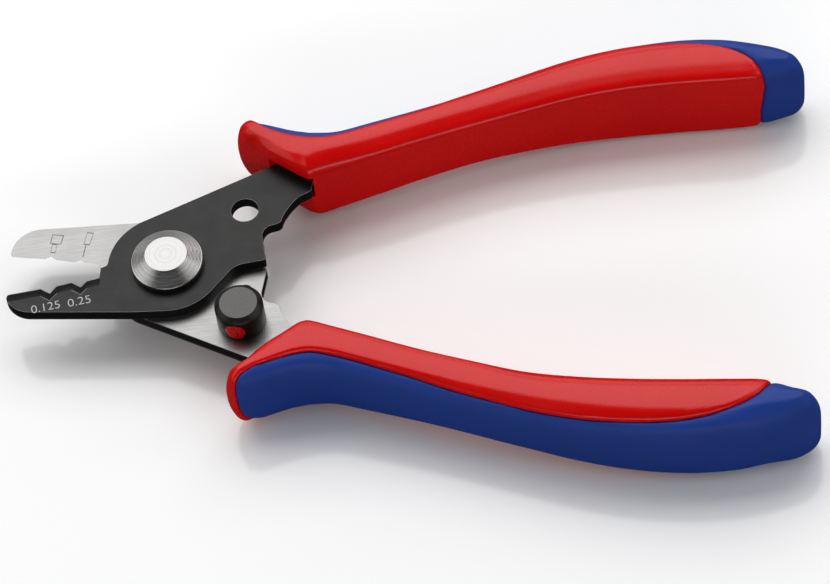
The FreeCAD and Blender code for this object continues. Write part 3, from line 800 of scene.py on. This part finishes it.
def make_lacquer():
    """A brushed-on blob on the post's wall over the screw's back end, with a ragged rim."""
    low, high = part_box("stop_post")
    axis = Vector(((low.x + high.x) / 2, (low.y + high.y) / 2, PIVOT.z))
    wall = (high.x - low.x) / 2 / MM + LACQUER_LIFT
    heading = math.radians(SCREW_ANGLE + 180.0)
    steps, rings = LACQUER_STEPS, LACQUER_RINGS
    outside, inside = [], []
    for j in range(rings + 1):
        share = j / rings
        for k in range(steps):
            a = 2 * math.pi * k / steps
            uneven = noise.noise(Vector((2.4 * math.cos(a), 2.4 * math.sin(a), 4.0)))
            ragged = 1.0 + LACQUER_RAGGED * uneven
            across = LACQUER_WIDE * share * ragged * math.cos(a)
            rise = LACQUER_TALL * share * ragged * math.sin(a)
            grit = LACQUER_GRIT * noise.noise(Vector((2.6 * across, 2.6 * rise, 0.0)))
            reach = wall + LACQUER_SWELL * (1 - share**5) + grit * (1 - share**3)
            spot = heading + across / wall
            height = LACQUER_Z + rise
            for store, r in ((outside, reach), (inside, wall - LACQUER_THIN)):
                store.append(axis + Vector((r * math.cos(spot), r * math.sin(spot), height)) * MM)
    faces = []
    for j in range(rings):
        for k in range(steps):
            n = (k + 1) % steps
            a, b = j * steps, (j + 1) * steps
            faces.append((a + k, a + n, b + n, b + k))
    count = len(outside)
    faces += [tuple(i + count for i in face[::-1]) for face in faces]
    rim = rings * steps
    for k in range(steps):
        n = (k + 1) % steps
        faces.append((rim + k, rim + n, rim + n + count, rim + k + count))
    bm = mesh_from(outside + inside, faces)
    bmesh.ops.remove_doubles(bm, verts=bm.verts, dist=0.0005 * MM)
    bmesh.ops.recalc_face_normals(bm, faces=bm.faces)
    obj = object_from("sealing_lacquer_blob", bm)
    finish_piece(obj, "bright_side", FINISH["red_lacquer"], ["sealing_lacquer"], sharp=60.0)


def make_spring():
    """A smooth-shaded copy of the CAD spring, shown in place of the CAD one."""
    node = frame["nodes"]["opening_spring"]
    obj = bpy.data.objects.new("opening_spring_wound", node.data.copy())
    bpy.context.scene.collection.objects.link(obj)
    obj.data.transform(node.matrix_world)
    obj.data.polygons.foreach_set("use_smooth", [True] * len(obj.data.polygons))
    obj.data.set_sharp_from_angle(angle=math.radians(40))
    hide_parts("opening_spring")
    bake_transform(obj)


def paint_cad_nodes():
    """Materials for the CAD meshes, which the pieces without a replacement show."""
    for row in frame["record"]["subparts"]:
        node = frame["nodes"][row["node"]]
        node.data.materials.clear()
        node.data.materials.append(FINISH[row["material_slot"]])


paint_cad_nodes()
bevelled("dark_jaw_lever", "burnished_steel", "dark_side", 0.13)
bevelled("bright_jaw_lever", "ground_steel", "bright_side", 0.06)
bevelled("stop_post", "black_oxide", "bright_side", 0.10)
make_bolt()
make_set_screw()
make_lacquer()
make_spring()


# ---------------------------------------------------------------- marks on the jaws

MARK_THICK = 0.02
NUMBER_TALL = 1.45
LETTER_THINNING = -0.012      # the outline's offset, for letters one unit tall
SYMBOL_LINE = 0.11            # the width of the symbols' lines
MITRE = 1.3                   # about how much longer a line's mitred corner is than the line is wide


def raised_mark(name, bm, body, material):
    """A thin raised mark from flat faces on a plate's top."""
    for face in bm.faces:
        if face.normal.z < 0:
            face.normal_flip()
    solid = bmesh.ops.extrude_face_region(bm, geom=bm.faces[:])
    for v in solid["geom"]:
        if isinstance(v, bmesh.types.BMVert):
            v.co.z += MARK_THICK * MM
    bmesh.ops.recalc_face_normals(bm, faces=bm.faces)
    obj = object_from(name, bm)
    finish_piece(obj, body, material, sharp=30.0)


def make_number(text, start, end):
    """A size number on the dark jaw, with its baseline from start to end in the part's plan."""
    curve = bpy.data.curves.new("size_" + text.replace(".", "_"), "FONT")
    curve.body = text
    curve.size = 1.0
    curve.offset = LETTER_THINNING
    obj = bpy.data.objects.new(curve.name, curve)
    bpy.context.scene.collection.objects.link(obj)
    graph = bpy.context.evaluated_depsgraph_get()
    mesh = bpy.data.meshes.new_from_object(obj.evaluated_get(graph))
    bpy.data.objects.remove(obj)
    places = np.array([v.co for v in mesh.vertices])
    low, high = places.min(0), places.max(0)
    run = np.array(end) - np.array(start)
    length = np.hypot(*run)
    along = run / length
    up = np.array([-along[1], along[0]])
    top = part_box("dark_jaw_lever")[1].z
    for v in mesh.vertices:
        s = (v.co.x - low[0]) / (high[0] - low[0]) * length
        t = (v.co.y - low[1]) / (high[1] - low[1]) * NUMBER_TALL
        plan = (np.array(start) + along * s + up * t) * MM
        v.co = (PIVOT.x + plan[0], PIVOT.y + plan[1], top)
    bm = bmesh.new()
    bm.from_mesh(mesh)
    bmesh.ops.remove_doubles(bm, verts=bm.verts, dist=1e-7)
    raised_mark("size_mark_" + text.replace(".", "_"), bm, "dark_side", NUMBER_MARK)


def make_symbol(name, strips):
    """A wire symbol on the bright jaw, from its strips in the part's plan."""
    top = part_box("bright_jaw_lever")[1].z
    bm = bmesh.new()
    for strip in strips:
        face = bm.faces.new([bm.verts.new((PIVOT.x + x * MM, PIVOT.y + y * MM, top)) for x, y in strip])
        face.normal_update()
    raised_mark(name, bm, "bright_side", SYMBOL_MARK)


def frame_strips(corners):
    """Four thin strips that frame a quadrilateral, each as its own outline."""
    corners = [np.array(c) for c in corners]
    middle = sum(corners) / 4
    strips = []
    for a, b in zip(corners, corners[1:] + corners[:1]):
        ia = a + (middle - a) / np.hypot(*(middle - a)) * SYMBOL_LINE * MITRE
        ib = b + (middle - b) / np.hypot(*(middle - b)) * SYMBOL_LINE * MITRE
        strips.append([a, b, ib, ia])
    return strips


def make_marks():
    """The two notch sizes on the dark jaw and the two wire symbols on the bright one."""
    make_number("0.125", (-20.95, -8.4), (-16.55, -7.52))
    make_number("0.25", (-15.25, -7.45), (-11.75, -6.75))
    wide_sleeve = [(-19.06, 8.18), (-17.22, 7.92), (-17.58, 6.17), (-19.36, 6.41)]
    narrow_sleeve = [(-18.97, 6.30), (-18.16, 6.18), (-18.40, 4.51), (-19.19, 4.63)]
    make_symbol("large_wire_symbol", frame_strips(wide_sleeve) + frame_strips(narrow_sleeve))
    sleeve = [(-13.52, 8.30), (-12.46, 8.16), (-13.01, 5.77), (-13.99, 5.98)]
    core = [(-13.66, 5.85), (-13.54, 5.82), (-13.88, 3.47), (-14.00, 3.50)]
    make_symbol("small_wire_symbol", frame_strips(sleeve) + [core])


make_marks()


# ---------------------------------------------------------------- floor, light, camera


FLOOR_SIZE, FLOOR_GAP = 4.0, 0.00005
LAMP_DISTANCE, LAMP_TARGET = 1.2, Vector((0.0, 0.0, 0.01))
WORLD_GLOW = 0.03
CAMERA_PLACE, CAMERA_LENS = Vector((0.05515, -0.39132, 0.54911)), 186.5
CAMERA_RIGHT = Vector((0.9959, 0.0133, -0.0897))
CAMERA_UP = Vector((0.041, 0.8161, 0.5765))
CAMERA_BACK = Vector((0.0808, -0.5778, 0.8122))


def make_floor():
    """A plain pale floor just under the part."""
    bm = bmesh.new()
    bmesh.ops.create_grid(bm, x_segments=1, y_segments=1, size=FLOOR_SIZE)
    floor = object_from("floor", bm)
    floor.location.z = cad_box[0].z - FLOOR_GAP
    m = Nodes("pale_floor")
    m.set(color=(0.92, 0.92, 0.92, 1.0), rough=0.12, specular=0.6)
    floor.data.materials.append(m.material)
    floor.visible_glossy = False


def softbox(name, direction, size, glow):
    """A rectangular lamp of a given radiance that faces the tool."""
    data = bpy.data.lights.new(name, "AREA")
    data.shape = "RECTANGLE"
    data.size, data.size_y = size
    data.energy = glow * math.pi * size[0] * size[1]
    light = bpy.data.objects.new(name, data)
    way = Vector(direction).normalized()
    light.location = LAMP_TARGET + way * LAMP_DISTANCE
    light.rotation_euler = way.to_track_quat("Z", "Y").to_euler()
    light.visible_camera = False
    bpy.context.scene.collection.objects.link(light)


def make_camera():
    """The photograph's view, from the front and above."""
    data = bpy.data.cameras.new("camera")
    data.lens = CAMERA_LENS
    data.sensor_width = 36.0
    data.clip_start, data.clip_end = 0.05, 20.0
    camera = bpy.data.objects.new("camera", data)
    turn = Matrix((CAMERA_RIGHT, CAMERA_UP, CAMERA_BACK)).transposed().to_4x4()
    camera.matrix_world = Matrix.Translation(CAMERA_PLACE) @ turn
    bpy.context.scene.collection.objects.link(camera)
    bpy.context.scene.camera = camera


def make_light():
    """A dim even surround and five large soft lamps."""
    world = bpy.data.worlds.new("studio")
    bpy.context.scene.world = world
    world.use_nodes = True
    background = world.node_tree.nodes["Background"]
    background.inputs["Color"].default_value = (1.0, 1.0, 1.0, 1.0)
    background.inputs["Strength"].default_value = WORLD_GLOW
    softbox("back_box", (-0.08, 0.58, 0.81), (2.0, 0.95), 2.5)
    softbox("rear_wall", (-0.08, 0.95, 0.28), (2.0, 0.45), 1.3)
    softbox("front_box", (0.05, -0.92, 0.38), (1.4, 0.20), 5.0)
    softbox("left_box", (-0.8, 0.0, 0.6), (1.0, 1.0), 1.2)
    softbox("right_box", (0.8, 0.0, 0.6), (1.0, 1.0), 1.2)


make_floor()
make_light()
make_camera()
bpy.context.scene.view_settings.view_transform = "Standard"
